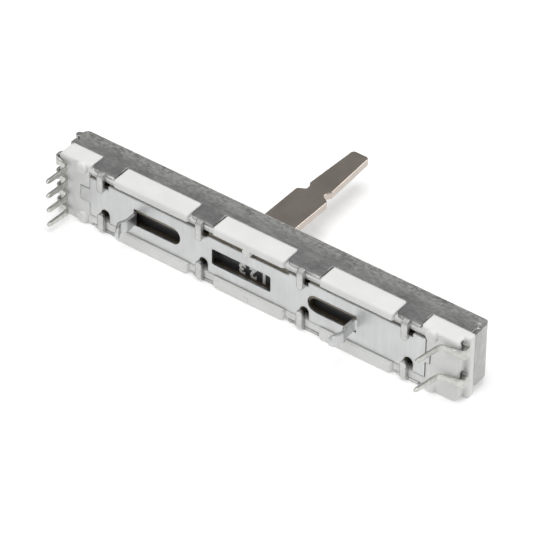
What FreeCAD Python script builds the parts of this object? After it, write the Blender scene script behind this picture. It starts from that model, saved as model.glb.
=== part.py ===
"""Dual-gang slide potentiometer, lying on one long narrow side.

Origin: centre of the cover's face, midway between the two panel holes.
+X runs along the slot towards the end with two terminals, +Y is the way the lever points,
+Z is up. Depths are measured from the cover's face towards the solder side (-Y).
"""
import FreeCAD, Part
import math
import os
import re

SIZES = [
    ("cover_length", 60.0, "steel cover, outside, along the slot"),
    ("cover_width", 9.2, "steel cover, outside, across the slot"),
    ("cover_height", 3.4, "depth of the cover's side walls"),
    ("cover_wall", 0.5, "cover sheet"),
    ("side_bend", 0.65, "outer radius of the two long bends"),
    ("end_bend", 1.5, "outer radius of the two end bends"),
    ("flap_upper_margin", 0.1, "end flap's upper edge from the cover's upper side"),
    ("flap_lower_margin", 1.3, "end flap's lower edge from the cover's lower side"),
    ("flap_corner", 0.35, "radius of the flap's lower free corner"),
    ("flap_gap", 0.1, "gap between the flap and the side walls' ends"),
    ("corner_relief", 1.0, "cut-away lower corner, from the cover's end"),
    ("right_relief_radius", 0.42, "round relief hole at the right upper corner"),
    ("right_relief_depth", 1.95, "depth of that hole's centre"),
    ("right_relief_inset", 0.65, "distance of that hole's centre from the cover's end"),
    ("left_relief_radius", 0.3, "round relief hole at the left upper corner"),
    ("left_relief_depth", 2.2, "depth of that hole's centre"),
    ("left_relief_inset", 0.25, "distance of that hole's centre from the cover's end"),
    ("ear_radius", 0.45, "bulge that the fold leaves beside the left relief hole"),
    ("ear_depth", 1.62, "depth of the bulge's centre"),
    ("ear_height", 0.6, "bulge, down from the cover's upper side"),
    ("ear_overhang", 0.05, "the bulge's centre past the cover's end"),
    ("slot_width", 1.8, "lever slot"),
    ("slot_end_gap", 0.3, "gap between lever and slot end at full travel"),
    ("panel_hole_radius", 1.25, "tapping hole for an M3 panel screw"),
    ("panel_hole_inset", 5.0, "panel holes' distance from the cover's ends"),
    ("travel", 30.0, "lever travel"),
    ("lever_rest", -3.48, "lever position along X as photographed"),
    ("left_tab_inset", 7.0, "first tab's centre from the cover's four-terminal end"),
    ("right_tab_inset", 7.85, "last tab's centre from the cover's two-terminal end"),
    ("tab_width", 3.5, "tab"),
    ("wide_tab_width", 4.9, "third tab"),
    ("tab_depth", 2.4, "tab below the side wall"),
    ("tab_corner", 0.6, "radius of the tab's free corners"),
    ("finger_width", 0.92, "bent-over finger on each tab"),
    ("finger_shift", -0.15, "finger's offset from the tab's centre"),
    ("finger_bend", 0.6, "middle radius of the finger's bend"),
    ("finger_tip", 1.65, "distance of the finger tips from the middle plane"),
    ("finger_tip_radius", 0.4, "rounding of the finger tips"),
    ("tab_gap", 0.15, "gap between a tab and the moulded blocks beside it"),
    ("fit_gap", 0.05, "gap between nested pieces"),
    ("flange_inset", 0.05, "moulded flanges and left end face inside the cover's ends"),
    ("flange_face", 4.5, "depth of the moulded flanges' solder-side face"),
    ("right_end_inset", 0.65, "right moulded end face inside the cover's end"),
    ("body_face", 6.3, "depth of the moulded blocks' solder-side face"),
    ("end_face", 5.8, "depth of the moulded end blocks' face"),
    ("block_edge", 0.3, "radius of the moulded blocks' edges"),
    ("upper_block_corner", 0.25, "radius of the upper blocks' outer corners"),
    ("lower_block_corner", 0.8, "radius of the lower blocks' outer corners"),
    ("body_corner", 0.8, "radius of the moulded body's end corners"),
    ("flange_corner", 0.35, "radius of the moulded right flange's corners"),
    ("upper_rim", 1.05, "upper blocks' width, from the cover's side"),
    ("lower_rim", 1.65, "lower blocks' width, from the cover's side"),
    ("rail_rim", 1.1, "rails inside the cover, from its sides"),
    ("post_radius", 0.85, "moulded round posts"),
    ("post_face", 6.2, "depth of the posts' tops"),
    ("post_edge", 0.35, "rounding of the posts' tops"),
    ("left_post_inset", 3.7, "posts' distance from the four-terminal end"),
    ("right_post_inset", 4.5, "posts' distance from the two-terminal end"),
    ("nub_radius", 0.6, "moulded half-round nub at the plate's waist"),
    ("nub_place", -1.0, "nub and gate mark, position along X"),
    ("gate_radius", 0.35, "gate mark on a lower block"),
    ("gate_height", 0.1, "gate mark"),
    ("gate_margin", 0.7, "gate mark's centre from the cover's lower side"),
    ("plate_face", 5.9, "depth of the bottom plate's outer surface"),
    ("plate_wall", 0.4, "bottom plate sheet"),
    ("left_plate_inset", 4.9, "plate's end from the cover's four-terminal end"),
    ("right_plate_inset", 5.3, "plate's end from the cover's two-terminal end"),
    ("plate_margin", 1.8, "plate's long edges from the cover's sides"),
    ("waist_depth", 0.3, "how far the plate's upper edge steps in along its middle stretch"),
    ("waist_stop", 2.1, "end of that stretch before the third tab's centre"),
    ("left_tongue", 1.45, "tongue past the plate's left end"),
    ("left_tongue_half", 1.0, "left tongue, half width"),
    ("right_tongue", 0.65, "tongue past the plate's right end"),
    ("right_tongue_half", 0.58, "right tongue, half width"),
    ("slot_top", 1.3, "upper edge of the plate's two rounded slots"),
    ("slot_bottom", 1.18, "lower edge of those slots, below the middle plane"),
    ("left_slot_start", 4.7, "left slot's square end past the first tab's centre"),
    ("left_slot_stop", 3.25, "left slot's round end before the second tab's centre"),
    ("right_slot_start", 7.25, "right slot's square end before the last tab's centre"),
    ("right_slot_stop", 0.7, "right slot's round end past the third tab's centre"),
    ("window_start", 1.5, "middle window's left end past the second tab's centre"),
    ("window_stop", 4.75, "middle window's right end before the third tab's centre"),
    ("window_top", 0.97, "middle window's upper edge"),
    ("window_bottom", 1.4, "middle window's lower edge, below the middle plane"),
    ("window_corner", 0.3, "radius of the middle window's corners"),
    ("notch_width", 1.25, "notch in the plate at each lower finger"),
    ("notch_shift", 0.45, "offset of that notch from the finger"),
    ("notch_depth", 1.75, "depth of that notch from the plate's edge"),
    ("nick_width", 0.95, "notch in the plate at each upper finger"),
    ("nick_depth", 0.55, "depth of the upper notch"),
    ("leg_width", 1.6, "bent-out legs"),
    ("leg_bend", 0.45, "middle radius of the legs' bends"),
    ("leg_root", 0.3, "leg's middle plane from the slot's square end"),
    ("leg_straight", 2.0, "leg's first straight run"),
    ("leg_kink", 0.4, "outward kink of the leg"),
    ("leg_kink_length", 0.9, "leg's run across the kink"),
    ("leg_return", 0.25, "leg's tip inside its first run"),
    ("leg_tip_radius", 0.7, "rounding of the legs' tips"),
    ("left_leg_reach", 9.9, "depth of the left leg's tip"),
    ("right_leg_reach", 10.4, "depth of the right leg's tip"),
    ("insulator_thickness", 0.8, "brown phenolic sheet"),
    ("insulator_margin", 0.8, "how much longer the openings in the phenolic sheet are than the plate's"),
    ("insulator_drop", 0.35, "how much lower those openings' lower edges are"),
    ("insulator_slot_top", 0.6, "upper edge of the slots in the phenolic sheet"),
    ("board_thickness", 0.8, "element board"),
    ("board_end_gap", 1.4, "element board's ends from the cover's ends"),
    ("board_shoulder", 5.0, "where the board widens, from the cover's ends"),
    ("board_end_margin", 0.65, "the board's ends' long edges from the cover's sides"),
    ("track_thickness", 0.05, "printed tracks"),
    ("track_width", 1.0, "printed tracks"),
    ("track_end_gap", 6.6, "tracks' ends from the board's ends"),
    ("outer_track_margin", 1.95, "outer tracks' centres from the cover's sides"),
    ("track_pitch", 1.6, "distance between the two tracks of a gang"),
    ("pin_margin", 1.3, "outer terminals' centres from the cover's sides"),
    ("ribbon_thickness", 0.3, "terminal sheet"),
    ("ribbon_width", 1.3, "terminal at its outer bend"),
    ("ribbon_bend", 0.45, "middle radius of the terminal's outer bends"),
    ("ribbon_neck", 1.0, "length over which the terminal narrows before the pin"),
    ("ribbon_overhang", 0.2, "middle of the terminal's outer run past the cover's end"),
    ("crest_bend", 0.7, "middle radius of the bend into the pin"),
    ("crest_rise", 0.35, "how far the ribbon leans out towards the pin"),
    ("run_gap", 0.1, "gap between the terminal and the moulded end face"),
    ("pin_root_width", 0.76, "terminal pin at its root"),
    ("pin_width", 0.58, "terminal pin above its tip"),
    ("pin_tip_width", 0.3, "terminal pin's point"),
    ("pin_tip_length", 0.35, "length of that point"),
    ("pin_reach", 10.3, "depth of the pins' tips"),
    ("left_crest_inset", 2.0, "pins' root from the four-terminal end"),
    ("left_tip_inset", 1.8, "pins' tip from the four-terminal end"),
    ("right_crest_inset", 2.9, "pins' root from the two-terminal end"),
    ("right_tip_inset", 3.6, "pins' tip from the two-terminal end"),
    ("ribbon_pocket", 0.65, "depth of the moulded pocket around a terminal"),
    ("pocket_width", 1.9, "width of that pocket"),
    ("rivet_inset", 1.9, "rivets' distance from the board's ends"),
    ("rivet_radius", 0.4, "rivet shank"),
    ("rivet_head_radius", 0.65, "rivet head"),
    ("rivet_head_height", 0.2, "rivet head"),
    ("carrier_length", 12.0, "slider carrier"),
    ("carrier_height", 1.9, "slider carrier"),
    ("carrier_play", 0.1, "gap between carrier and rails, each side"),
    ("spring_room", 0.6, "room between the carrier and the cover"),
    ("lever_thickness", 1.1, "lever sheet"),
    ("lever_width", 4.73, "lever's lower section"),
    ("lever_shoulder", 10.3, "height of the lower section's shoulders"),
    ("lever_neck_width", 2.65, "lever at the notch"),
    ("neck_top", 11.8, "height at which the notch ends"),
    ("blade_width", 3.38, "lever's upper section at its root"),
    ("blade_tip_width", 2.54, "lever's upper section at its tip"),
    ("lever_height", 20.5, "lever's tip above the cover's face"),
    ("lever_corner", 0.55, "radius of the lever's corners"),
    ("lever_edge", 0.18, "radius along the lever's cut edges"),
    ("foot_width", 6.4, "lever's foot inside the carrier"),
    ("foot_height", 0.8, "lever's foot inside the carrier"),
    ("foot_base", 2.6, "depth of the foot's underside"),
    ("spring_thickness", 0.15, "wipers and drag spring"),
    ("contact_gap", 0.05, "gap drawn between sliding contacts"),
    ("wiper_arm_width", 0.6, "wiper arms"),
    ("wiper_plate_length", 5.0, "wiper's flat part under the carrier"),
    ("wiper_reach", 5.4, "wiper tip's distance from the lever's middle"),
    ("wiper_toe", 0.9, "wiper's upturned tip"),
    ("wiper_bend", 0.5, "middle radius where the wiper arm leaves the flat part"),
    ("wiper_tip_bend", 0.4, "middle radius of the wiper's contact"),
    ("spring_width", 5.6, "drag spring"),
    ("spring_length", 10.0, "drag spring"),
    ("spring_foot", 1.0, "drag spring's feet"),
    ("spring_crest", 3.5, "drag spring's flat crest"),
    ("spring_bend", 1.0, "middle radius of the drag spring's bends"),
    ("spring_window", 2.2, "opening in the drag spring for the lever, across"),
    ("spring_play", 0.2, "gap between that opening's ends and the lever"),
]

doc = FreeCAD.newDocument("slide_potentiometer")
sheet = doc.addObject("Spreadsheet::Sheet", "Sizes")
for row, (alias, value, note) in enumerate(SIZES, start=1):
    sheet.set(f"A{row}", note)
    sheet.set(f"B{row}", str(value))
    sheet.setAlias(f"B{row}", alias)
doc.recompute()

vector = FreeCAD.Vector
sub_parts = []
TAB_COUNT = 4
WIDE_TAB = 2
NEAR = 0.01
ROUND_LIMIT = 0.48
TERMINALS = [
    ("terminal_left_1", -1, 1.5),
    ("terminal_left_2", -1, 0.5),
    ("terminal_left_3", -1, -0.5),
    ("terminal_left_4", -1, -1.5),
    ("terminal_right_1", 1, 1.5),
    ("terminal_right_2", 1, -0.5),
]

FLAP_TOP = "cover_width / 2 - flap_upper_margin"
FLAP_BOTTOM = "-cover_width / 2 + flap_lower_margin"
RIM_HALF = "cover_width / 2 - lower_rim"
RAIL_HALF = "cover_width / 2 - rail_rim"
PLATE_HALF = "cover_width / 2 - plate_margin"
BOARD_END_HALF = "cover_width / 2 - board_end_margin"
OUTER_TRACK = "cover_width / 2 - outer_track_margin"
INNER_TRACK = OUTER_TRACK + " - track_pitch"
PIN_PITCH = "(cover_width - 2 * pin_margin) / 3"
PLATE_BACK = "-plate_face + plate_wall"
BOARD_BACK = PLATE_BACK + " + insulator_thickness"
BOARD_FRONT = BOARD_BACK + " + board_thickness"
BOARD_END = "cover_length / 2 - board_end_gap"
BOARD_SHOULDER = "cover_length / 2 - board_shoulder"
RIVET_PLACE = BOARD_END + " - rivet_inset"
PLATE_LEFT = "-cover_length / 2 + left_plate_inset"
PLATE_RIGHT = "cover_length / 2 - right_plate_inset"
CARRIER_TOP = "-cover_wall - spring_room"
CARRIER_BASE = CARRIER_TOP + " - carrier_height"
WALL_INSIDE = "cover_width / 2 - cover_wall"


def sized(text):
    """Point each size name in an expression at its cell."""
    return re.sub(r"[a-z][a-z_]+", lambda found: "Sizes." + found.group(0), text)


def size(text):
    """Work out a size, or an expression of sizes."""
    return float(sheet.evalExpression(sized(text)))


def box(name, x, y, z):
    """A box between two expressions along each axis."""
    item = doc.addObject("Part::Box", name)
    for side, axis, ends in (("Length", "x", x), ("Width", "y", y), ("Height", "z", z)):
        low, high = ends
        item.setExpression("Placement.Base." + axis, sized(low))
        item.setExpression(side, sized(f"({high}) - ({low})"))
    return item


def rod(name, radius, axis, span, **centre):
    """A round rod along Y or Z between two expressions; centre gives its place on the other axes."""
    item = doc.addObject("Part::Cylinder", name)
    low, high = span
    if axis == "y":
        item.Placement = FreeCAD.Placement(vector(0, 0, 0), FreeCAD.Rotation(vector(1, 0, 0), -90))
    item.setExpression("Radius", sized(radius))
    item.setExpression("Height", sized(f"({high}) - ({low})"))
    item.setExpression("Placement.Base." + axis, sized(low))
    for letter, place in centre.items():
        item.setExpression("Placement.Base." + letter, sized(place))
    return item


def fuse(name, items):
    item = doc.addObject("Part::MultiFuse", name)
    item.Shapes = items
    item.Refine = True
    return item


def cut(name, base, tools):
    item = doc.addObject("Part::Cut", name)
    item.Base = base
    item.Tool = tools[0] if len(tools) == 1 else fuse(name + "_tools", tools)
    item.Refine = True
    return item


def common(name, first, second):
    item = doc.addObject("Part::MultiCommon", name)
    item.Shapes = [first, second]
    item.Refine = True
    return item


def rounded(name, base, radius, chosen):
    """Round the edges of base that chosen accepts by their centre and direction."""
    doc.recompute()
    item = doc.addObject("Part::Fillet", name)
    item.Base = base
    edges = []
    for index, edge in enumerate(base.Shape.Edges, start=1):
        span = edge.BoundBox
        if chosen(span.Center, vector(span.XLength, span.YLength, span.ZLength)):
            edges.append((index, radius, radius))
    item.Edges = edges
    return item


def solid_feature(name, shape):
    item = doc.addObject("Part::Feature", name)
    item.Shape = shape
    return item


def finish(item, label):
    item.Label = label
    sub_parts.append(item)
    return item


def bent_outline(points, radii, thickness):
    """Outline of a bent sheet seen edge on: straight runs joined by tangent arcs."""
    half = thickness / 2
    turns = []
    for before, here, after, radius in zip(points, points[1:], points[2:], radii):
        into = (here - before).normalize()
        out = (after - here).normalize()
        angle = into.getAngle(out)
        reach = radius * math.tan(angle / 2)
        side = 1 if into.x * out.y - into.y * out.x > 0 else -1
        start = here - into * reach
        inward = vector(-into.y, into.x, 0) * side
        middle = (vector(-into.y, into.x, 0) * side + vector(-out.y, out.x, 0) * side).normalize()
        turns.append((start, start + inward * radius, middle, here + out * reach, side, radius))

    def edges_beside(sign):
        made = []
        first = (points[1] - points[0]).normalize()
        last = (points[-1] - points[-2]).normalize()
        place = points[0] + vector(-first.y, first.x, 0) * half * sign
        for start, centre, middle, end, side, radius in turns:
            bend = radius - side * sign * half
            entry = centre + (start - centre).normalize() * bend
            leave = centre + (end - centre).normalize() * bend
            made.append(Part.LineSegment(place, entry).toShape())
            made.append(Part.Arc(entry, centre - middle * bend, leave).toShape())
            place = leave
        stop = points[-1] + vector(-last.y, last.x, 0) * half * sign
        made.append(Part.LineSegment(place, stop).toShape())
        return made, points[0] + vector(-first.y, first.x, 0) * half * sign, stop

    left, left_start, left_stop = edges_beside(1)
    right, right_start, right_stop = edges_beside(-1)
    caps = [
        Part.LineSegment(left_start, right_start).toShape(),
        Part.LineSegment(left_stop, right_stop).toShape(),
    ]
    return Part.Face(Part.Wire(Part.__sortEdges__(left + right + caps)))


def bent_sheet(points, radii, thickness, width):
    """A bent strip whose path lies in the XY plane, centred on Z = 0."""
    outline = bent_outline([vector(x, y, 0) for x, y in points], radii, thickness)
    outline.translate(vector(0, 0, -width / 2))
    return outline.extrude(vector(0, 0, width))


def rounded_tip(strip, radius, at_tip):
    """Round the corners of a strip's end: at_tip picks them among its bounding box's edges."""
    span = strip.BoundBox
    blank = Part.makeBox(
        span.XLength, span.YLength, span.ZLength, vector(span.XMin, span.YMin, span.ZMin))
    edges = [edge for edge in blank.Edges if at_tip(edge.BoundBox, span)]
    return strip.common(blank.makeFillet(min(radius, ROUND_LIMIT * span.ZLength), edges))


def tab_centre(index):
    pitch = f"(cover_length - left_tab_inset - right_tab_inset) / {TAB_COUNT - 1}"
    return f"-cover_length / 2 + left_tab_inset + {index} * {pitch}"


def tab_half(index):
    return "wide_tab_width / 2" if index == WIDE_TAB else "tab_width / 2"


def finger_centre(index):
    return f"{tab_centre(index)} + finger_shift"


def mirrored(side, low, high):
    """The same span above or below the middle plane, or at the right or left end."""
    return (low, high) if side > 0 else (f"-({high})", f"-({low})")


def word_for(side):
    return "upper" if side > 0 else "lower"


def add_finger(index, side):
    """The finger that folds from a tab's edge over the bottom plate."""
    wall = size("cover_wall")
    level = size("-plate_face - cover_wall / 2")
    plane = size("cover_width / 2 - cover_wall / 2")
    strip = bent_sheet(
        [(plane, size("-cover_height - tab_depth / 2")), (plane, level), (size("finger_tip"), level)],
        [size("finger_bend")], wall, size("finger_width"))
    strip = rounded_tip(
        strip, size("finger_tip_radius"),
        lambda edge, span: edge.XMax < span.XMin + NEAR and edge.YLength > NEAR)
    strip.rotate(vector(0, 0, 0), vector(0, 1, 0), -90 * side)
    strip.translate(vector(size(finger_centre(index)), 0, 0))
    return solid_feature(f"finger_{index}_{word_for(side)}", strip)


def add_tab(index, side):
    """One tab below the side wall, with its left free corner rounded."""
    centre = tab_centre(index)
    half = tab_half(index)
    name = f"tab_{index}_{word_for(side)}"
    blank = box(
        name + "_blank",
        (f"{centre} - {half}", f"{centre} + {half}"),
        ("-cover_height - tab_depth", "-cover_height + cover_wall"),
        mirrored(side, WALL_INSIDE, "cover_width / 2"))
    low = size("-cover_height - tab_depth")
    middle = size(centre)
    return rounded(
        name, blank, size("tab_corner"),
        lambda at, span: span.z > 0.1 and abs(at.y - low) < NEAR and at.x < middle)


def folded_block(name, wall, side_radius, end_radius):
    """The cover's outside, or its inside one wall further in, with its bends rounded."""
    halves = []
    for word, radius, long_bend in (("sides", side_radius, True), ("ends", end_radius, False)):
        blank = box(
            f"{name}_{word}_blank",
            (f"-cover_length / 2 + {wall}", f"cover_length / 2 - {wall}"),
            (f"-cover_height - 2 * ({wall})", f"-({wall})"),
            (f"-cover_width / 2 + {wall}", f"cover_width / 2 - {wall}"))
        halves.append(rounded(
            f"{name}_{word}", blank, size(radius),
            lambda at, span: (
                at.y > size("-cover_wall") - NEAR and span.y < NEAR
                and (span.x > span.z if long_bend else span.z > span.x))))
    return common(name, halves[0], halves[1])


def end_reliefs(end):
    """What is cut away at one end: the corners beside the flap, a relief hole and a panel hole."""
    word = "right" if end > 0 else "left"
    wall_end = "cover_length / 2 - cover_wall - flap_gap"
    return [
        box(
            f"lower_relief_{word}", mirrored(end, "cover_length / 2 - corner_relief", "cover_length"),
            ("-2 * cover_height", "cover_wall"), ("-cover_width", FLAP_BOTTOM)),
        box(
            f"upper_trim_{word}", mirrored(end, wall_end, "cover_length"),
            ("-2 * cover_height", f"-{word}_relief_depth"), (FLAP_TOP, "cover_width")),
        box(
            f"upper_gap_{word}", mirrored(end, wall_end, "cover_length / 2 - cover_wall"),
            ("-2 * cover_height", f"-{word}_relief_depth"), (WALL_INSIDE + " - flap_gap", "cover_width")),
        rod(
            f"relief_hole_{word}", f"{word}_relief_radius", "z", (WALL_INSIDE + " - flap_gap", "cover_width"),
            x=f"{end} * (cover_length / 2 - {word}_relief_inset)", y=f"-{word}_relief_depth"),
        rod(
            f"panel_hole_{word}", "panel_hole_radius", "y", ("-2 * cover_wall", "cover_wall"),
            x=f"{end} * (cover_length / 2 - panel_hole_inset)", z="0"),
    ]


def add_cover():
    """Folded steel channel with end flaps, tabs and fingers."""
    outer = folded_block("cover_outside", "0", "side_bend", "end_bend")
    inner = folded_block("cover_inside", "cover_wall", "side_bend - cover_wall", "end_bend - cover_wall")
    hollow = cut("cover_hollow", outer, [inner])
    ear = rod(
        "ear", "ear_radius", "z", ("cover_width / 2 - ear_height", "cover_width / 2"),
        x="-cover_length / 2 - ear_overhang", y="-ear_depth")
    slot_reach = "travel / 2 + lever_width / 2 + slot_end_gap"
    slot = box(
        "lever_slot", mirrored(1, f"-({slot_reach})", slot_reach),
        ("-2 * cover_wall", "cover_wall"), ("-slot_width / 2", "slot_width / 2"))
    folded = fuse("cover_folded", [hollow, ear])
    shell = cut("cover_shell", folded, [slot] + end_reliefs(-1) + end_reliefs(1))
    shell = rounded(
        "cover_flap_corners", shell, size("flap_corner"),
        lambda at, span: (
            abs(at.y + size("cover_height")) < NEAR
            and abs(at.z - size(FLAP_BOTTOM)) < NEAR
            and abs(span.x - size("cover_wall")) < NEAR and span.y < NEAR))
    pieces = [shell]
    for index in range(TAB_COUNT):
        for side in (-1, 1):
            pieces.append(add_tab(index, side))
            pieces.append(add_finger(index, side))
    finish(fuse("cover_solid", pieces), "cover")


def soft_block(name, x, face, z, corner, at_corner):
    """A moulded block down to the given depth, its outer corners and its face's edges rounded."""
    blank = box(name + "_blank", x, (f"-{face}", "-cover_height"), z)
    cornered = rounded(
        name + "_corners", blank, size(corner), lambda at, span: span.y > span.x + span.z and at_corner(at))
    return rounded(
        name, cornered, size("block_edge"), lambda at, span: abs(at.y + size(face)) < NEAR and span.y < NEAR)


def add_blocks():
    """The six raised blocks between the tabs and the two end blocks."""
    pieces = []
    for side in (-1, 1):
        word = word_for(side)
        for index in range(TAB_COUNT - 1):
            start = f"{tab_centre(index)} + {tab_half(index)} + tab_gap"
            stop = f"{tab_centre(index + 1)} - {tab_half(index + 1)} - tab_gap"
            pieces.append(soft_block(
                f"block_{index}_{word}", (start, stop), "body_face",
                mirrored(side, f"cover_width / 2 - {word}_rim - block_edge", "cover_width / 2"),
                f"{word}_block_corner", lambda at: abs(abs(at.z) - size("cover_width / 2")) < NEAR))
    left_stop = f"{tab_centre(0)} - tab_width / 2 - tab_gap"
    right_start = f"{tab_centre(TAB_COUNT - 1)} + tab_width / 2 + tab_gap"
    ends = (
        ("left_end_block", ("-cover_length / 2 + flange_inset", left_stop), "end_face", "body_corner"),
        ("right_end_block", (right_start, "cover_length / 2 - right_end_inset"), "end_face", "body_corner"),
        ("right_flange", (right_start, "cover_length / 2 - flange_inset"), "flange_face", "flange_corner"),
    )
    for name, x, face, corner in ends:
        outer = size(x[1] if "right" in name else x[0])
        pieces.append(soft_block(
            name, x, face, ("-cover_width / 2", "cover_width / 2"), corner,
            lambda at: abs(at.x - outer) < NEAR))
    return pieces


def add_posts():
    """Round posts on the end blocks."""
    pieces = []
    for side in (-1, 1):
        for word, place in (
                ("left", "-cover_length / 2 + left_post_inset"), ("right", "cover_length / 2 - right_post_inset")):
            name = f"{word}_post_{word_for(side)}"
            blank = rod(
                name + "_blank", "post_radius", "y", ("-post_face", "-end_face + post_edge"),
                x=place, z=f"{side} * (cover_width / 2 - post_radius)")
            pieces.append(rounded(
                name, blank, size("post_edge"), lambda at, span: abs(at.y + size("post_face")) < NEAR))
    return pieces


def body_openings():
    """Room in the moulded frame for the plate, the boards, the slider and the terminals."""
    tools = [
        box(
            "plate_opening", (PLATE_LEFT + " - 2 * fit_gap", PLATE_RIGHT + " + 2 * fit_gap"),
            ("-2 * body_face", PLATE_BACK), (f"-({RIM_HALF})", "cover_width / 2 - upper_rim")),
        box(
            "phenolic_bed", (PLATE_LEFT + " - 2 * fit_gap", PLATE_RIGHT + " + 2 * fit_gap"),
            (PLATE_BACK, "-cover_height"), mirrored(1, f"-({RIM_HALF})", RIM_HALF)),
        box(
            "left_tongue_recess", (PLATE_LEFT + " - left_tongue - 2 * fit_gap", PLATE_LEFT),
            ("-2 * body_face", PLATE_BACK), ("-left_tongue_half - fit_gap", "left_tongue_half + fit_gap")),
        box(
            "right_tongue_recess", (PLATE_RIGHT, PLATE_RIGHT + " + right_tongue + 2 * fit_gap"),
            ("-2 * body_face", PLATE_BACK), ("-right_tongue_half - fit_gap", "right_tongue_half + fit_gap")),
        box(
            "slider_space", mirrored(1, f"-({BOARD_END} + 2 * fit_gap)", BOARD_END + " + 2 * fit_gap"),
            (BOARD_BACK, "0"), mirrored(1, f"-({RAIL_HALF})", RAIL_HALF)),
    ]
    for end in (-1, 1):
        word = "left" if end < 0 else "right"
        x = mirrored(end, BOARD_SHOULDER, BOARD_END + " + 2 * fit_gap")
        tools.append(box(
            f"board_{word}_end_bed", x, (BOARD_BACK, "-cover_height"),
            mirrored(1, f"-({BOARD_END_HALF} + fit_gap)", f"{BOARD_END_HALF} + fit_gap")))
        tools.append(box(
            f"board_{word}_end_space", x, ("-cover_height", "0"), ("-cover_width / 2", "cover_width / 2")))
    for name, end, steps in TERMINALS:
        tools.append(box(
            name + "_pocket",
            mirrored(end, RIVET_PLACE + " - rivet_head_radius - 2 * fit_gap", "cover_length"),
            (BOARD_BACK + " - ribbon_pocket", BOARD_BACK),
            (f"{steps} * {PIN_PITCH} - pocket_width / 2", f"{steps} * {PIN_PITCH} + pocket_width / 2")))
    return tools


def add_body():
    """White moulded frame: blocks, rails, posts, a nub and a gate mark."""
    inside_half = WALL_INSIDE + " - fit_gap"
    pieces = [
        box(
            "body_slab", (f"{tab_centre(0)} - tab_width", f"{tab_centre(TAB_COUNT - 1)} + tab_width"),
            ("-end_face", "-cover_height"), mirrored(1, f"-({inside_half})", inside_half)),
        box(
            "body_inside_cover",
            ("-cover_length / 2 + cover_wall + fit_gap", "cover_length / 2 - cover_wall - fit_gap"),
            ("-cover_height", "-end_bend - fit_gap"), mirrored(1, f"-({inside_half})", inside_half)),
    ]
    pieces += add_blocks() + add_posts()
    framed = cut("body_frame", fuse("body_filled", pieces), body_openings())
    nub = rod(
        "nub", "nub_radius", "y", ("-body_face", PLATE_BACK),
        x="nub_place", z=f"{PLATE_HALF} - waist_depth + nub_radius + fit_gap")
    gate = rod(
        "gate_mark", "gate_radius", "y", ("-body_face - gate_height", "-body_face + gate_height"),
        x="nub_place", z="-cover_width / 2 + gate_margin")
    finish(fuse("body_solid", [framed, nub, gate]), "body")


def add_leg(name, side, slot_end, reach):
    """A bent-out leg: straight, a kink outwards, then back to its rounded tip."""
    level = size("-plate_face + plate_wall / 2")
    x = slot_end - side * size("leg_root")
    kink = level - size("leg_straight")
    strip = bent_sheet(
        [
            (slot_end + side * size("plate_wall"), level),
            (x, level),
            (x, kink),
            (x + side * size("leg_kink"), kink - size("leg_kink_length")),
            (x - side * size("leg_return"), -size(reach)),
        ],
        [size("leg_bend")] * 3, size("plate_wall"), size("leg_width"))
    strip = rounded_tip(
        strip, size("leg_tip_radius"),
        lambda edge, span: edge.YMax < span.YMin + NEAR and edge.XLength > NEAR)
    return solid_feature(name, strip)


def add_rounded_slot(name, square_end, round_end, side, y, z):
    """A slot with one square end and one round end."""
    low, high = z
    half = f"(({high}) - ({low})) / 2"
    middle = f"(({high}) + ({low})) / 2"
    round_centre = f"{round_end} - {side} * {half}"
    return [
        box(name + "_straight", (square_end, round_centre) if side > 0 else (round_centre, square_end), y, z),
        rod(name + "_round", half, "y", y, x=round_centre, z=middle),
    ]


LEFT_SLOT = tab_centre(0) + " + left_slot_start"
LEFT_SLOT_END = tab_centre(1) + " - left_slot_stop"
RIGHT_SLOT = tab_centre(TAB_COUNT - 1) + " - right_slot_start"
RIGHT_SLOT_END = tab_centre(WIDE_TAB) + " + right_slot_stop"
WINDOW_LEFT = tab_centre(1) + " + window_start"
WINDOW_RIGHT = tab_centre(WIDE_TAB) + " - window_stop"


def edge_notches(name, y):
    """Notches beside the fingers: a round-ended one at each lower finger, a small one at each upper."""
    tools = []
    far = "cover_width"
    round_z = f"-({PLATE_HALF}) + notch_depth - notch_width / 2"
    for index in range(TAB_COUNT):
        finger = finger_centre(index)
        notch = f"{finger} + notch_shift"
        tools.append(box(
            f"{name}_notch_{index}", (f"{notch} - notch_width / 2", f"{notch} + notch_width / 2"),
            y, (f"-{far}", round_z)))
        tools.append(rod(f"{name}_notch_{index}_round", "notch_width / 2", "y", y, x=notch, z=round_z))
        tools.append(box(
            f"{name}_nick_{index}", (finger, f"{finger} + nick_width"),
            y, (f"{PLATE_HALF} - nick_depth", far)))
    return tools


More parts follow.
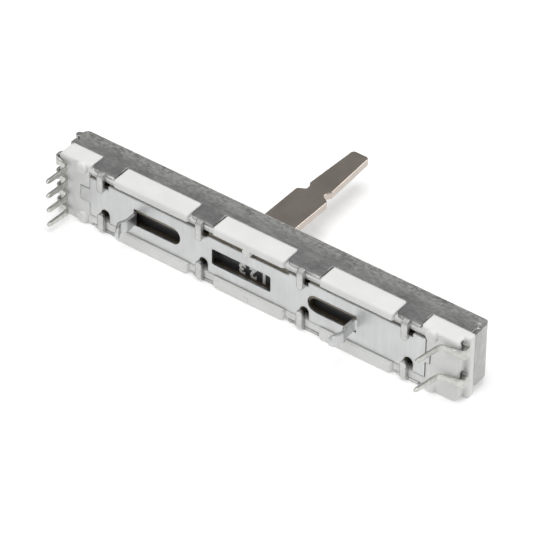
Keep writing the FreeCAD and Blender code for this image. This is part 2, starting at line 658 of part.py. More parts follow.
def add_bottom_plate():
    """Tin-plated sheet held by the fingers, with two legs bent out of its slots."""
    y = ("-plate_face", PLATE_BACK)
    through = ("-plate_face - plate_wall", PLATE_BACK + " + plate_wall")
    blank = fuse("plate_blank", [
        box("plate_sheet", (PLATE_LEFT, PLATE_RIGHT), y, mirrored(1, f"-({PLATE_HALF})", PLATE_HALF)),
        box(
            "plate_left_tongue", (PLATE_LEFT + " - left_tongue", PLATE_LEFT + " + plate_wall"), y,
            ("-left_tongue_half", "left_tongue_half")),
        box(
            "plate_right_tongue", (PLATE_RIGHT + " - plate_wall", PLATE_RIGHT + " + right_tongue"), y,
            ("-right_tongue_half", "right_tongue_half")),
    ])
    window = box(
        "plate_window_blank", (WINDOW_LEFT, WINDOW_RIGHT), through, ("-window_bottom", "window_top"))
    tools = [rounded("plate_window", window, size("window_corner"), lambda at, span: span.y > span.x + span.z)]
    slot_z = ("-slot_bottom", "slot_top")
    tools += add_rounded_slot("plate_left_slot", LEFT_SLOT, LEFT_SLOT_END, 1, through, slot_z)
    tools += add_rounded_slot("plate_right_slot", RIGHT_SLOT, RIGHT_SLOT_END, -1, through, slot_z)
    tools.append(box(
        "plate_waist_cut", (finger_centre(1), f"{tab_centre(WIDE_TAB)} - waist_stop"), through,
        (f"{PLATE_HALF} - waist_depth", "cover_width")))
    tools += edge_notches("plate", through)
    pieces = [
        cut("plate_cut", blank, tools),
        add_leg("left_leg", -1, size(LEFT_SLOT), "left_leg_reach"),
        add_leg("right_leg", 1, size(RIGHT_SLOT), "right_leg_reach"),
    ]
    finish(fuse("plate_solid", pieces), "bottom_plate")


def add_insulator_board():
    """Brown phenolic sheet between the plate and the element board."""
    through = ("-plate_face", BOARD_BACK + " + plate_wall")
    blank = box(
        "insulator_sheet", (PLATE_LEFT + " - fit_gap", PLATE_RIGHT + " + fit_gap"), (PLATE_BACK, BOARD_BACK),
        mirrored(1, f"-({RIM_HALF} - fit_gap)", f"{RIM_HALF} - fit_gap"))
    slot_z = ("-slot_bottom - insulator_drop", "insulator_slot_top")
    tools = [box(
        "insulator_window",
        (WINDOW_LEFT + " - insulator_margin", WINDOW_RIGHT), through,
        ("-window_bottom - insulator_drop", "window_top"))]
    tools += add_rounded_slot(
        "insulator_left_slot", LEFT_SLOT + " - insulator_margin", LEFT_SLOT_END, 1, through, slot_z)
    tools += add_rounded_slot(
        "insulator_right_slot", RIGHT_SLOT + " + insulator_margin", RIGHT_SLOT_END, -1, through, slot_z)
    tools += edge_notches("insulator", through)
    finish(cut("insulator_solid", blank, tools), "insulator_board")


def add_element_board():
    """Black board that carries the tracks and the riveted terminals."""
    y = (BOARD_BACK, BOARD_FRONT)
    half = RAIL_HALF + " - carrier_play"
    pieces = [
        box("board_middle", mirrored(1, f"-({BOARD_END})", BOARD_END), y, (f"-({half})", half)),
    ]
    for end in (-1, 1):
        pieces.append(box(
            f"board_end_{end + 1}", mirrored(end, BOARD_SHOULDER + " + fit_gap", BOARD_END), y,
            mirrored(1, f"-({BOARD_END_HALF})", BOARD_END_HALF)))
    holes = []
    for name, end, steps in TERMINALS:
        holes.append(rod(
            name + "_board_hole", "rivet_radius", "y",
            (BOARD_BACK + " - plate_wall", BOARD_FRONT + " + plate_wall"),
            x=f"{end} * ({RIVET_PLACE})", z=f"{steps} * {PIN_PITCH}"))
    finish(cut("board_solid", fuse("board_blank", pieces), holes), "element_board")


def add_tracks():
    """Printed tracks, two for each gang, on the board's lever side."""
    reach = BOARD_END + " - track_end_gap"
    places = [
        ("resistive_track_a", OUTER_TRACK),
        ("collector_track_a", INNER_TRACK),
        ("resistive_track_b", f"-({INNER_TRACK})"),
        ("collector_track_b", f"-({OUTER_TRACK})"),
    ]
    for label, centre in places:
        finish(
            box(
                label + "_solid", mirrored(1, f"-({reach})", reach),
                (BOARD_FRONT, BOARD_FRONT + " + track_thickness"),
                (f"{centre} - track_width / 2", f"{centre} + track_width / 2")),
            label)


def outline_prism(points, start, direction):
    """Extrude the outline of (place, half width) points and their mirror image from start along direction."""
    outline = [start + vector(place, 0, half) for place, half in points]
    outline += [start + vector(place, 0, -half) for place, half in reversed(points)]
    return Part.Face(Part.makePolygon(outline + outline[:1])).extrude(direction)


def add_terminal(label, end, steps):
    """Ribbon from its rivet out of the end, folded inwards and down into a pointed pin."""
    thickness = size("ribbon_thickness")
    inner_level = size(BOARD_BACK + " - ribbon_thickness / 2")
    outer_level = size("-end_face - run_gap - ribbon_thickness / 2")
    word = "left" if end < 0 else "right"
    crest = size(f"cover_length / 2 - {word}_crest_inset")
    tip = size(f"cover_length / 2 - {word}_tip_inset")
    out = size("cover_length / 2 + ribbon_overhang")
    reach = size("pin_reach")
    wide = size("ribbon_width / 2")
    root = size("pin_root_width / 2")
    start = size(RIVET_PLACE + " - rivet_head_radius")
    strip = bent_sheet(
        [(start, inner_level), (out, inner_level), (out, outer_level),
         (crest, outer_level - size("crest_rise")), (tip, -reach)],
        [size("ribbon_bend"), size("ribbon_bend"), size("crest_bend")], thickness, 2 * wide)
    span = strip.BoundBox
    split = (inner_level + outer_level) / 2
    deep = span.YMin - split
    narrowing = outline_prism(
        [(span.XMin, root), (crest, root), (crest + size("ribbon_neck"), root), (out, wide), (span.XMax, wide)],
        vector(0, split, 0), vector(0, deep, 0))
    above = Part.makeBox(span.XLength, span.YMax - split, 2 * wide, vector(span.XMin, split, -wide))
    strip = strip.common(narrowing.fuse(above))
    pin_start = outer_level - thickness / 2
    pointed = outline_prism(
        [(-span.YMax, wide), (-pin_start, wide), (-pin_start, root),
         (reach - size("pin_tip_length"), size("pin_width / 2")), (-span.YMin, size("pin_tip_width / 2"))],
        vector(0, span.XMin, 0), vector(0, span.XLength, 0))
    pointed.rotate(vector(0, 0, 0), vector(0, 0, 1), -90)
    strip = strip.common(pointed)
    hole = Part.makeCylinder(
        size("rivet_radius"), 2 * thickness, vector(size(RIVET_PLACE), inner_level - thickness, 0), vector(0, 1, 0))
    strip = strip.cut(hole).removeSplitter()
    if end < 0:
        strip = strip.mirror(vector(0, 0, 0), vector(1, 0, 0))
    strip.translate(vector(0, 0, steps * size(PIN_PITCH)))
    finish(solid_feature(label + "_solid", strip), label)


def add_rivet(label, end, steps):
    """Eyelet through the ribbon and the board, with a head on each side."""
    place = {"x": f"{end} * ({RIVET_PLACE})", "z": f"{steps} * {PIN_PITCH}"}
    back = f"{BOARD_BACK} - ribbon_thickness"
    pieces = [
        rod(label + "_shank", "rivet_radius", "y", (back, BOARD_FRONT), **place),
        rod(label + "_lower_head", "rivet_head_radius", "y", (back + " - rivet_head_height", back), **place),
        rod(
            label + "_upper_head", "rivet_head_radius", "y",
            (BOARD_FRONT, BOARD_FRONT + " + rivet_head_height"), **place),
    ]
    finish(fuse(label + "_solid", pieces), label)


def add_carrier():
    """Moulded slider block around the lever's foot."""
    half = RAIL_HALF + " - carrier_play"
    blank = box(
        "carrier_block", ("lever_rest - carrier_length / 2", "lever_rest + carrier_length / 2"),
        (CARRIER_BASE, CARRIER_TOP), (f"-({half})", half))
    z = ("-lever_thickness / 2", "lever_thickness / 2")
    stem = box(
        "carrier_stem_slot", ("lever_rest - lever_width / 2", "lever_rest + lever_width / 2"),
        ("-foot_base", "0"), z)
    foot = box(
        "carrier_foot_slot", ("lever_rest - foot_width / 2", "lever_rest + foot_width / 2"),
        ("-foot_base", "-foot_base + foot_height"), z)
    blank = rounded(
        "carrier_corners", blank, size("block_edge"), lambda at, span: span.y > 1)
    finish(cut("carrier_solid", blank, [stem, foot]), "carrier")


def add_lever():
    """Flat blade with a foot, a notch at mid height and a tapered tip."""
    half = size("lever_width") / 2
    foot = size("foot_width") / 2
    neck = size("lever_neck_width") / 2
    blade = size("blade_width") / 2
    tip = size("blade_tip_width") / 2
    base = -size("foot_base")
    knee = base + size("foot_height")
    shoulder = size("lever_shoulder")
    neck_top = size("neck_top")
    top = size("lever_height")
    corner = size("lever_corner")
    right = [
        (foot, base),
        (foot, knee),
        (half, knee),
        (half, shoulder),
        (neck, shoulder + corner),
        (neck, neck_top - corner / 2),
        (blade, neck_top + corner / 2),
        (tip, top),
    ]
    outline = right + [(-x, y) for x, y in reversed(right)]
    points = [vector(x, y, 0) for x, y in outline]
    thickness = size("lever_thickness")
    face = Part.Face(Part.makePolygon(points + points[:1]))
    face.translate(vector(0, 0, -thickness / 2))
    solid = face.extrude(vector(0, 0, thickness))

    def corners_at(places):
        found = []
        for edge in solid.Edges:
            span = edge.BoundBox
            for x, y in places:
                upright = span.ZLength > span.XLength + span.YLength
                if upright and abs(abs(span.Center.x) - x) < NEAR and abs(span.Center.y - y) < NEAR:
                    found.append(edge)
        return found

    solid = solid.makeFillet(corner, corners_at([right[3], right[7]]))
    solid = solid.makeFillet(corner / 2, corners_at([right[4], right[5], right[6]]))
    rims = [
        edge for edge in solid.Edges
        if edge.BoundBox.ZLength < NEAR and edge.BoundBox.YMin > knee - NEAR and edge.BoundBox.YMax > 0]
    solid = solid.makeFillet(size("lever_edge"), rims)
    solid.translate(vector(size("lever_rest"), 0, 0))
    finish(solid_feature("lever_solid", solid), "lever")


def add_wiper(label, side):
    """Contact spring under the carrier: a flat part and two arms, one for each track."""
    thickness = size("spring_thickness")
    top = size(CARRIER_BASE)
    contact = size(BOARD_FRONT + " + track_thickness + contact_gap + spring_thickness / 2")
    reach = size("wiper_reach")
    plate_half = size("wiper_plate_length / 2")
    arm_width = size("wiper_arm_width")
    arm = bent_sheet(
        [
            (plate_half, top - thickness / 2),
            (-plate_half, top - thickness / 2),
            (-reach + size("wiper_toe"), contact),
            (-reach, contact + 2 * thickness),
        ],
        [size("wiper_bend"), size("wiper_tip_bend")], thickness, arm_width)
    pieces = []
    for track in (INNER_TRACK, OUTER_TRACK):
        copy = arm.copy()
        copy.translate(vector(0, 0, side * size(track)))
        pieces.append(copy)
    low = min(side * size(INNER_TRACK), side * size(OUTER_TRACK)) - arm_width / 2
    plate = Part.makeBox(
        2 * plate_half, thickness, size("track_pitch + wiper_arm_width"),
        vector(-plate_half, top - thickness, low))
    solid = plate.fuse(pieces).removeSplitter()
    solid.translate(vector(size("lever_rest"), 0, 0))
    finish(solid_feature(label + "_solid", solid), label)


def add_drag_spring():
    """Bowed leaf between the carrier and the cover, with an opening for the lever."""
    thickness = size("spring_thickness")
    top = size(CARRIER_TOP)
    foot_level = top + thickness / 2
    crest = size("-cover_wall - contact_gap - spring_thickness / 2")
    half = size("spring_length / 2")
    foot = half - size("spring_foot")
    crest_half = size("spring_crest / 2")
    leaf = bent_sheet(
        [
            (-half, foot_level),
            (-foot, foot_level),
            (-crest_half, crest),
            (crest_half, crest),
            (foot, foot_level),
            (half, foot_level),
        ],
        [size("spring_bend")] * 4, thickness, size("spring_width"))
    length = size("lever_width + 2 * spring_play")
    window = size("spring_window")
    opening = Part.makeBox(length, size("spring_room"), window, vector(-length / 2, top, -window / 2))
    leaf = leaf.cut(opening)
    leaf.translate(vector(size("lever_rest"), 0, 0))
    finish(solid_feature("drag_spring_solid", leaf), "drag_spring")


add_cover()
add_body()
add_bottom_plate()
add_insulator_board()
add_element_board()
add_tracks()
for terminal_name, terminal_end, terminal_steps in TERMINALS:
    add_terminal(terminal_name, terminal_end, terminal_steps)
    add_rivet(terminal_name.replace("terminal", "rivet"), terminal_end, terminal_steps)
add_carrier()
add_lever()
add_wiper("wiper_a", 1)
add_wiper("wiper_b", -1)
add_drag_spring()
doc.recompute()

for item in doc.Objects:
    if "Invalid" in item.State or "Error" in item.State:
        raise RuntimeError(f"{item.Name} failed: {item.State}")
for item in sub_parts:
    if item.Shape.isNull() or not item.Shape.isValid():
        raise RuntimeError(f"{item.Label} has no valid shape")

os.makedirs("parts", exist_ok=True)
for item in sub_parts:
    item.Shape.exportStep(os.path.join("parts", item.Label + ".step"))
    print(item.Label, len(item.Shape.Solids), round(item.Shape.Volume, 3))
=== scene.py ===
"""Slide potentiometer seen from its solder side, lying on its long narrow side on a white table."""
import math
import bpy
from mathutils import Matrix, Vector


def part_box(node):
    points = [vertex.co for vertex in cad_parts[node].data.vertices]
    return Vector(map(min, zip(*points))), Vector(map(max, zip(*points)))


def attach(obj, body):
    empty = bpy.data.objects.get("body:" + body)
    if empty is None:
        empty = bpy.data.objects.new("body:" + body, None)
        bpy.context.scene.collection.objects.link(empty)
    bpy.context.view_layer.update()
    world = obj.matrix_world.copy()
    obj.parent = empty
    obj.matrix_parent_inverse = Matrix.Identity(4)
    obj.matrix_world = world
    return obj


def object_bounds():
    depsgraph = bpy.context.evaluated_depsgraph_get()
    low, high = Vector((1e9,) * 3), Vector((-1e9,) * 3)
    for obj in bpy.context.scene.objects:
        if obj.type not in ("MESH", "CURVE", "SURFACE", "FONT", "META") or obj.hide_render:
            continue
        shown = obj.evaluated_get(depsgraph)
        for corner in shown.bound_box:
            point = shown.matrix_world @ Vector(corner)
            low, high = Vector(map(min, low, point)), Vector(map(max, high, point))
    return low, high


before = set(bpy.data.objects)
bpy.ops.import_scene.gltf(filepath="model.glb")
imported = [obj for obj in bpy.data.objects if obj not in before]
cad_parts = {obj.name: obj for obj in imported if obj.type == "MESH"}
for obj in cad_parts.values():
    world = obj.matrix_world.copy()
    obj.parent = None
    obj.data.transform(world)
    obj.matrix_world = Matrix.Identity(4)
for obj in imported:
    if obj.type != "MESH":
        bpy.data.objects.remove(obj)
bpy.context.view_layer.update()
MM = 0.001

# Camera of the photograph: a long lens in mm, from above, in front and to the right. Nearest is in metres.
CAMERA_PLACE = Vector((217.95, -296.67, 297.68)) * MM
CAMERA_AIM = Vector((0.05, -3.61, -0.04)) * MM
CAMERA_ROLL = math.radians(0.585)
CAMERA_LENS = 267.38
CAMERA_NEAREST = 0.01

# Softboxes aimed at the part: name, place in metres, width in metres and power in watts.
SOFTBOXES = (
    ("overhead_softbox", (0.05, -0.1, 0.7), 0.5, 2.7),
    ("front_softbox", (-0.3, -0.65, 0.5), 0.35, 0.6),
    ("rear_softbox", (0.55, 0.6, 0.4), 0.5, 1.6),
)
# Strength of the white room around it, width of the table in metres, and what lifts the table to white.
ROOM_LIGHT = 0.33
TABLE_WIDTH = 2.0
TABLE_GLOW = 0.3

# Plain numbers printed on the element board, seen through the plate's middle window, in mm.
BOARD_NUMBERS = "1 2 3"
NUMBERS_X = -1.1
NUMBERS_Z = -0.95
NUMBER_HEIGHT = 2.1
NUMBER_WEIGHT = 0.1
INK_THICKNESS = 0.01

# Where a finish, a painted highlight or painted shade changes. Depth is Y, from 0 at the lever's side to
# -6.4 mm at the fingers' faces, and reach is how far X is from the middle.
WHOLE_DEPTH = {"From Min": -6.5 * MM, "From Max": 0.0}
TO_FAR_BEND = {"From Min": -2.4 * MM, "From Max": -1.2 * MM}
TABS_TO_WALL = {"From Min": -4.6 * MM, "From Max": -4.2 * MM}
FINGERS_TO_TABS = {"From Min": -6.0 * MM, "From Max": -5.85 * MM}
TO_BENT_ENDS = {"From Min": 29.6 * MM, "From Max": 29.95 * MM}
SHEET_FACE_TO_CUT = {"From Min": -5.49 * MM, "From Max": -5.35 * MM}

# The middle range of a noise pattern, where nearly all of its values lie.
NOISE_RANGE = {"From Min": 0.3, "From Max": 0.7}


def srgb(code):
    """Linear colour with alpha from an sRGB hex code."""
    channels = [int(code[i:i + 2], 16) / 255 for i in (1, 3, 5)]
    return [c / 12.92 if c <= 0.04045 else ((c + 0.055) / 1.055) ** 2.4 for c in channels] + [1.0]


def per_mm(size):
    """Texture scale that gives a pattern one cell every size millimetres."""
    return 1 / (size * MM)


def add(tree, kind, inputs=None, stops=(), **settings):
    """Add a shader node with its settings and links.

    An input is a plain value, a socket, or a node, which stands for its first output in use.
    Stops are a colour ramp's positions, each with a hex colour or a grey level.
    """
    node = tree.nodes.new("ShaderNode" + kind)
    for name, value in settings.items():
        setattr(node, name, value)
    for name, value in (inputs or {}).items():
        by_name = (item for item in node.inputs if item.enabled and item.name == name)
        socket = node.inputs[name] if isinstance(name, int) else next(by_name)
        if isinstance(value, bpy.types.Node):
            value = next(item for item in value.outputs if item.enabled)
        if isinstance(value, bpy.types.NodeSocket):
            tree.links.new(value, socket)
        else:
            socket.default_value = value
    for _ in stops[2:]:
        node.color_ramp.elements.new(0.5)
    for index, (position, value) in enumerate(stops):
        element = node.color_ramp.elements[index]
        element.position = position
        element.color = srgb(value) if isinstance(value, str) else [value, value, value, 1.0]
    return node


def start_material(name):
    """A new material, its empty tree and the object's coordinates."""
    material = bpy.data.materials.new(name)
    material.use_nodes = True
    tree = material.node_tree
    tree.nodes.clear()
    return material, tree, add(tree, "TexCoord").outputs["Object"]


def end_material(tree, inputs):
    """Give the tree its shader, with these inputs, and its output."""
    add(tree, "OutputMaterial", {"Surface": add(tree, "BsdfPrincipled", inputs)})


def relief(tree, height, strength, distance, radius):
    """Bumps over softened edges: the normal with both, and the softened edges' own normal.

    Distance and radius are in mm. An edge looks softened over about a third of the radius.
    """
    edges = add(tree, "Bevel", {"Radius": radius * MM}, samples=6)
    bumps = add(tree, "Bump", {
        "Height": height, "Strength": strength, "Distance": distance * MM, "Normal": edges})
    return bumps, edges


def edge_mask(tree, edges, share):
    """How near an edge is, from 0 to share: there the softened normal turns away from the face's."""
    face = add(tree, "NewGeometry").outputs["Normal"]
    turn = add(tree, "VectorMath", {0: edges, 1: face}, operation="DOT_PRODUCT")
    return add(tree, "MapRange", {"Value": turn, "From Min": 0.98, "From Max": 0.8, "To Max": share})


def layer(tree, colour, masks):
    """Lay hex colours over a colour, each where its mask says."""
    for mask, code in masks:
        colour = add(tree, "Mix", {"Factor": mask, "A": colour, "B": srgb(code)}, data_type="RGBA")
    return colour


def zinc_plated_steel():
    """Cold-rolled steel sheet with dull zinc plating.

    It is cloudy, flecked and pitted, darker by the tabs, and crazed pale towards the bend at the lever's
    side, a pale band that also stands as a painted highlight along that bend. It is plainer and darker on
    its bent ends and paler on the fingers. Its edges carry a painted highlight, and the tabs' edges carry
    painted shade, for the shade in the gaps beside them.
    """
    material, tree, place = start_material("zinc_plated_steel")
    rolled = add(tree, "Mapping", {"Vector": place, "Scale": (0.6, 1.0, 1.0)})
    clouds = add(tree, "TexNoise", {
        "Vector": rolled, "Scale": per_mm(2.2), "Detail": 6.0, "Roughness": 0.62, "Distortion": 0.4})
    flecks = add(tree, "TexNoise", {
        "Vector": add(tree, "Mapping", {"Vector": place, "Scale": (0.55, 1.0, 1.0)}),
        "Scale": per_mm(0.42), "Detail": 5.0, "Roughness": 0.7})
    mottle = add(tree, "Mix", {"Factor": 0.45, "A": clouds, "B": flecks})
    spots = add(tree, "TexVoronoi", {"Vector": place, "Scale": per_mm(3.2), "Randomness": 1.0})
    pits = add(tree, "MapRange", {
        "Value": spots, "From Min": 0.045, "From Max": 0.085, "To Min": 0.8, "To Max": 0.0})
    split = add(tree, "SeparateXYZ", {"Vector": place})
    depth = split.outputs["Y"]
    reach = add(tree, "Math", {0: split.outputs["X"]}, operation="ABSOLUTE")
    dark_tabs = add(
        tree, "ValToRGB", {"Fac": add(tree, "MapRange", {"Value": depth, **WHOLE_DEPTH})},
        [(0.1, 0.0), (0.22, 0.45), (0.45, 0.3), (0.7, 0.0)])
    crazing = add(tree, "TexNoise", {
        "Vector": rolled, "Scale": per_mm(0.36), "Detail": 3.0, "Roughness": 0.8})
    # Pale crazing towards the far bend: real crazing, and also a painted highlight along that bend.
    crazed_and_bend_highlight = add(tree, "Math", {
        0: add(tree, "MapRange", {"Value": depth, **TO_FAR_BEND, "To Max": 0.65}),
        1: add(tree, "MapRange", {"Value": crazing, "From Min": 0.47, "From Max": 0.57}),
    }, operation="MULTIPLY")
    # The bent ends are plainer and darker, in colour and roughness.
    plain_ends = add(tree, "MapRange", {"Value": reach, **TO_BENT_ENDS, "To Max": 0.75})
    # The fingers' outer faces are paler.
    paler_fingers = add(tree, "MapRange", {"Value": depth, **FINGERS_TO_TABS, "To Min": 0.7, "To Max": 0.0})
    normal, edges = relief(tree, flecks, 0.22, 0.03, 0.22)
    near_edge = edge_mask(tree, edges, 1.0)
    # A painted highlight: the edges above the tabs are lightened.
    painted_edge_highlight = add(tree, "Math", {
        0: near_edge, 1: add(tree, "MapRange", {"Value": depth, **TABS_TO_WALL, "To Max": 0.35}),
    }, operation="MULTIPLY")
    # Painted shade: the tabs' edges are darkened, for the shade in the gaps beside them.
    painted_tab_edge_shade = add(tree, "Math", {
        0: near_edge,
        1: add(tree, "MapRange", {"Value": depth, **TABS_TO_WALL, "To Min": 0.75, "To Max": 0.0}),
    }, operation="MULTIPLY")
    plating = add(tree, "ValToRGB", {"Fac": mottle}, [
        (0.38, "#949493"), (0.5, "#bdbdbc"), (0.62, "#e6e6e3")])
    colour = layer(tree, plating, [
        (pits, "#55524f"), (dark_tabs, "#8d8e90"), (crazed_and_bend_highlight, "#f4f3ef"), (plain_ends, "#acacab"),
        (paler_fingers, "#cfcfcd"), (painted_edge_highlight, "#f0f0ee"), (painted_tab_edge_shade, "#5c5a58")])
    dull = add(tree, "MapRange", {
        "Value": mottle, "From Min": 0.35, "From Max": 0.65, "To Min": 0.5, "To Max": 0.3})
    end_material(tree, {
        "Base Color": colour, "Metallic": 1.0, "Normal": normal,
        "Roughness": add(tree, "Mix", {"Factor": plain_ends, "A": dull, "B": 0.42})})
    return material


def white_nylon():
    """Moulded white nylon: smooth, softly translucent, with a faint grain from the mould."""
    material, tree, place = start_material("moulded_white_nylon")
    clouds = add(tree, "TexNoise", {"Vector": place, "Scale": per_mm(4.0), "Detail": 3.0})
    grain = add(tree, "TexNoise", {"Vector": place, "Scale": per_mm(0.25), "Detail": 4.0})
    end_material(tree, {
        "Base Color": add(tree, "ValToRGB", {"Fac": clouds}, [(0.3, "#efefec"), (0.7, "#f7f8f6")]),
        "Roughness": add(tree, "MapRange", {
            "Value": grain, **NOISE_RANGE, "To Min": 0.36, "To Max": 0.48}),
        "Subsurface Weight": 0.15,
        "Subsurface Radius": (0.6, 0.56, 0.52),
        "Subsurface Scale": 0.6 * MM,
        "Normal": relief(tree, grain, 0.14, 0.02, 0.25)[0]})
    return material


def tin_plate():
    """Stamped tin plate: pale and satin, with faint smudges, fine lines across its length and a painted
    highlight on its edges.

    The lines are finer on the real plate, and are drawn 0.5 mm apart so that they show.
    """
    material, tree, place = start_material("satin_tin_plate")
    smudges = add(tree, "TexNoise", {
        "Vector": add(tree, "Mapping", {"Vector": place, "Scale": (1.0, 1.0, 0.7)}),
        "Scale": per_mm(3.5), "Detail": 5.0, "Distortion": 0.6})
    lines = add(tree, "TexNoise", {
        "Vector": add(tree, "Mapping", {"Vector": place, "Scale": (1.0, 1.0, 0.06)}),
        "Scale": per_mm(0.5), "Detail": 4.0, "Roughness": 0.55})
    tone = add(tree, "Mix", {"Factor": 0.4, "A": smudges, "B": lines})
    face = add(tree, "ValToRGB", {"Fac": tone}, [
        (0.32, "#c2c2c2"), (0.5, "#cccdcd"), (0.68, "#d6d7d7")])
    normal, edges = relief(tree, smudges, 0.2, 0.05, 0.2)
    end_material(tree, {
        # The edges are lightened: a painted highlight.
        "Base Color": layer(tree, face, [(edge_mask(tree, edges, 0.5), "#f2f2f1")]),
        "Roughness": add(tree, "MapRange", {
            "Value": lines, **NOISE_RANGE, "To Min": 0.28, "To Max": 0.44}),
        "Metallic": 1.0, "Normal": normal})
    return material


def tinned_brass():
    """Dip-tinned terminal sheet: grey and a little uneven, with its edges lightened as a painted
    highlight.
    """
    material, tree, place = start_material("dipped_tin_on_brass")
    coat = add(tree, "TexNoise", {"Vector": place, "Scale": per_mm(0.5), "Detail": 4.0})
    face = add(tree, "ValToRGB", {"Fac": coat}, [(0.3, "#b9b9b4"), (0.7, "#d6d6d1")])
    normal, edges = relief(tree, coat, 0.3, 0.03, 0.22)
    end_material(tree, {
        # The edges are lightened: a painted highlight.
        "Base Color": layer(tree, face, [(edge_mask(tree, edges, 0.5), "#f4f4f0")]),
        "Roughness": add(tree, "MapRange", {
            "Value": coat, **NOISE_RANGE, "To Min": 0.28, "To Max": 0.42}),
        "Metallic": 1.0, "Normal": normal})
    return material


def nickel_plate():
    """Bright nickel plating on the stamped lever: smooth, warm grey, finely brushed, with soft stains.

    The brushing is finer than this on a real lever, and is drawn 0.12 mm apart so that it shows.
    """
    material, tree, place = start_material("bright_nickel_plate")
    brushing = add(tree, "TexNoise", {
        "Vector": add(tree, "Mapping", {"Vector": place, "Scale": (1.0, 0.05, 1.0)}),
        "Scale": per_mm(0.12), "Detail": 3.0})
    stains = add(tree, "TexNoise", {"Vector": place, "Scale": per_mm(3.0), "Detail": 3.0})
    tone = add(tree, "Mix", {"Factor": 0.75, "A": brushing, "B": stains})
    end_material(tree, {
        "Base Color": add(tree, "ValToRGB", {"Fac": tone}, [(0.35, "#b8aea5"), (0.65, "#c6bcb3")]),
        "Roughness": add(tree, "MapRange", {
            "Value": brushing, **NOISE_RANGE, "To Min": 0.1, "To Max": 0.18}),
        "Metallic": 1.0,
        "Normal": relief(tree, brushing, 0.02, 0.01, 0.1)[0]})
    return material


def phenolic_sheet():
    """Punched phenolic paper laminate: dusty brown face and fine fibres, with its cut edges darkened as
    painted shade on the windows' walls.
    """
    material, tree, place = start_material("punched_phenolic_laminate")
    fibres = add(tree, "TexNoise", {"Vector": place, "Scale": per_mm(0.3), "Detail": 6.0})
    face = add(tree, "ValToRGB", {"Fac": fibres}, [(0.3, "#857d70"), (0.7, "#9c9487")])
    depth = add(tree, "SeparateXYZ", {"Vector": place}).outputs["Y"]
    # Painted shade: the cut edges are darkened for the shade on the windows' walls.
    cut_painted_shade = add(tree, "MapRange", {"Value": depth, **SHEET_FACE_TO_CUT})
    end_material(tree, {
        "Base Color": layer(tree, face, [(cut_painted_shade, "#574d3b")]),
        "Roughness": add(tree, "MapRange", {
            "Value": fibres, **NOISE_RANGE, "To Min": 0.5, "To Max": 0.62}),
        "Normal": relief(tree, fibres, 0.3, 0.03, 0.15)[0]})
    return material


def black_lacquer():
    """Black lacquered element board: satin gloss that softens reflections to grey, with faint dust."""
    material, tree, place = start_material("satin_black_lacquer")
    dust = add(tree, "TexNoise", {"Vector": place, "Scale": per_mm(0.2), "Detail": 5.0})
    end_material(tree, {
        "Base Color": add(tree, "ValToRGB", {"Fac": dust}, [(0.45, "#353537"), (0.8, "#4c4c4f")]),
        "Roughness": add(tree, "MapRange", {
            "Value": dust, **NOISE_RANGE, "To Min": 0.3, "To Max": 0.44}),
        "Normal": relief(tree, dust, 0.1, 0.01, 0.04)[0]})
    return material


def spring_bronze():
    """Rolled phosphor bronze: warm and bright, with rolling lines."""
    material, tree, place = start_material("rolled_spring_bronze")
    lines = add(tree, "TexNoise", {
        "Vector": add(tree, "Mapping", {"Vector": place, "Scale": (0.1, 1.0, 1.0)}),
        "Scale": per_mm(0.15), "Detail": 3.0})
    end_material(tree, {
        "Base Color": add(tree, "ValToRGB", {"Fac": lines}, [(0.3, "#b98d55"), (0.7, "#d3a96c")]),
        "Roughness": add(tree, "MapRange", {
            "Value": lines, **NOISE_RANGE, "To Min": 0.22, "To Max": 0.38}),
        "Metallic": 1.0,
        "Normal": relief(tree, lines, 0.1, 0.01, 0.04)[0]})
    return material


def even_finish(name, dark, pale, metallic, roughness):
    """Screen-printed ink or fine black moulding: even, with a faint grain.

    The grain is finer than this on the real parts, and is drawn 0.1 mm wide so that it shows.
    """
    material, tree, place = start_material(name)
    grain = add(tree, "TexNoise", {"Vector": place, "Scale": per_mm(0.1), "Detail": 4.0})
    end_material(tree, {
        "Base Color": add(tree, "ValToRGB", {"Fac": grain}, [(0.3, dark), (0.7, pale)]),
        "Roughness": add(tree, "MapRange", {
            "Value": grain, **NOISE_RANGE, "To Min": roughness - 0.06, "To Max": roughness + 0.06}),
        "Metallic": metallic,
        "Normal": relief(tree, grain, 0.15, 0.01, 0.03)[0]})
    return material


def white_table():
    """Matt white table that reads as white to the camera and in reflections, and keeps the shadow."""
    material, tree, _ = start_material("matt_white_table")
    matt = add(tree, "BsdfPrincipled", {
        "Base Color": srgb("#f4f4f4"), "Roughness": 0.9, "Specular IOR Level": 0.1})
    path = add(tree, "LightPath")
    seen = add(tree, "Math", {
        0: path.outputs["Is Camera Ray"], 1: path.outputs["Is Glossy Ray"]}, operation="MAXIMUM")
    lift = add(tree, "Math", {0: seen, 1: TABLE_GLOW}, operation="MULTIPLY")
    glow = add(tree, "Emission", {"Color": srgb("#ffffff"), "Strength": lift})
    add(tree, "OutputMaterial", {"Surface": add(tree, "AddShader", {0: matt, 1: glow})})
    return material


def paint(material, *nodes):
    """Give CAD pieces a material."""
    for node in nodes:
        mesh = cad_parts[node].data
        mesh.materials.clear()
        mesh.materials.append(material)


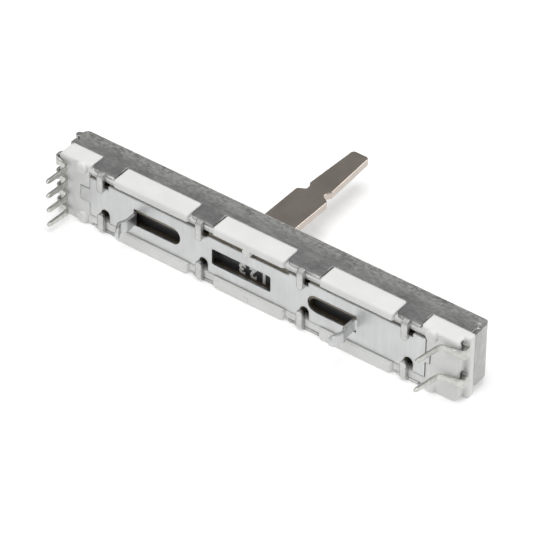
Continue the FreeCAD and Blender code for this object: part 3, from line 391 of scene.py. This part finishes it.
def add_numbers(material):
    """Numbers on the element board's solder side, upside down to the camera, as the part lies."""
    curve = bpy.data.curves.new("board_numbers", "FONT")
    curve.body = BOARD_NUMBERS
    curve.size = NUMBER_HEIGHT * MM
    curve.offset = NUMBER_WEIGHT * MM
    curve.extrude = INK_THICKNESS / 2 * MM
    curve.align_x = "CENTER"
    curve.align_y = "CENTER"
    curve.resolution_u = 3
    source = bpy.data.objects.new("board_numbers_text", curve)
    mesh = bpy.data.meshes.new_from_object(source)
    bpy.data.objects.remove(source)
    board_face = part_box("element_board")[0][1]
    place = Vector((NUMBERS_X * MM, board_face - INK_THICKNESS * MM, NUMBERS_Z * MM))
    turn = Matrix.Rotation(math.pi, 4, "Y") @ Matrix.Rotation(math.pi / 2, 4, "X")
    mesh.transform(Matrix.Translation(place) @ turn)
    mesh.materials.clear()
    mesh.materials.append(material)
    piece = bpy.data.objects.new("board_numbers", mesh)
    bpy.context.scene.collection.objects.link(piece)
    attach(piece, "housing")


def add_table():
    """A wide table under the part's lowest point."""
    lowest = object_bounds()[0][2]
    bpy.ops.mesh.primitive_plane_add(size=TABLE_WIDTH, location=(0, 0, lowest))
    table = bpy.context.object
    table.name = "table"
    table.data.materials.append(white_table())


def add_lights():
    """Round softboxes aimed at the part, in a plain white room."""
    for name, place, width, power in SOFTBOXES:
        lamp = bpy.data.lights.new(name, "AREA")
        lamp.shape = "DISK"
        lamp.size = width
        lamp.energy = power
        item = bpy.data.objects.new(name, lamp)
        item.location = place
        item.rotation_euler = (-Vector(place)).to_track_quat("-Z", "Y").to_euler()
        bpy.context.scene.collection.objects.link(item)
    world = bpy.data.worlds.new("studio")
    bpy.context.scene.world = world
    world.use_nodes = True
    background = world.node_tree.nodes["Background"]
    background.inputs["Color"].default_value = srgb("#ffffff")
    background.inputs["Strength"].default_value = ROOM_LIGHT


def add_camera():
    """The photograph's camera."""
    data = bpy.data.cameras.new("photo_camera")
    data.lens = CAMERA_LENS
    data.clip_start = CAMERA_NEAREST
    camera = bpy.data.objects.new("photo_camera", data)
    camera.location = CAMERA_PLACE
    turn = (CAMERA_AIM - CAMERA_PLACE).to_track_quat("-Z", "Y").to_matrix()
    camera.rotation_euler = (turn @ Matrix.Rotation(CAMERA_ROLL, 3, "Z")).to_euler()
    bpy.context.scene.collection.objects.link(camera)
    bpy.context.scene.camera = camera


terminals = [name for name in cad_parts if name.startswith("terminal_")]
rivets = [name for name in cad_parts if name.startswith("rivet_")]
carbon = even_finish("printed_carbon_ink", "#141414", "#222222", 0.0, 0.5)
silver = even_finish("printed_silver_ink", "#a9a9a6", "#c4c4c0", 1.0, 0.4)
paint(zinc_plated_steel(), "cover")
paint(white_nylon(), "body")
paint(tin_plate(), "bottom_plate")
paint(phenolic_sheet(), "insulator_board")
paint(black_lacquer(), "element_board")
paint(nickel_plate(), "lever")
paint(tinned_brass(), *terminals)
paint(spring_bronze(), "wiper_a", "wiper_b", "drag_spring", *rivets)
paint(carbon, "resistive_track_a", "resistive_track_b")
paint(silver, "collector_track_a", "collector_track_b")
paint(even_finish("moulded_black_nylon", "#1b1b1c", "#262627", 0.0, 0.45), "carrier")
add_numbers(even_finish("printed_white_ink", "#ededea", "#f6f6f4", 0.0, 0.55))
add_table()
add_lights()
add_camera()
bpy.context.scene.view_settings.view_transform = "Standard"
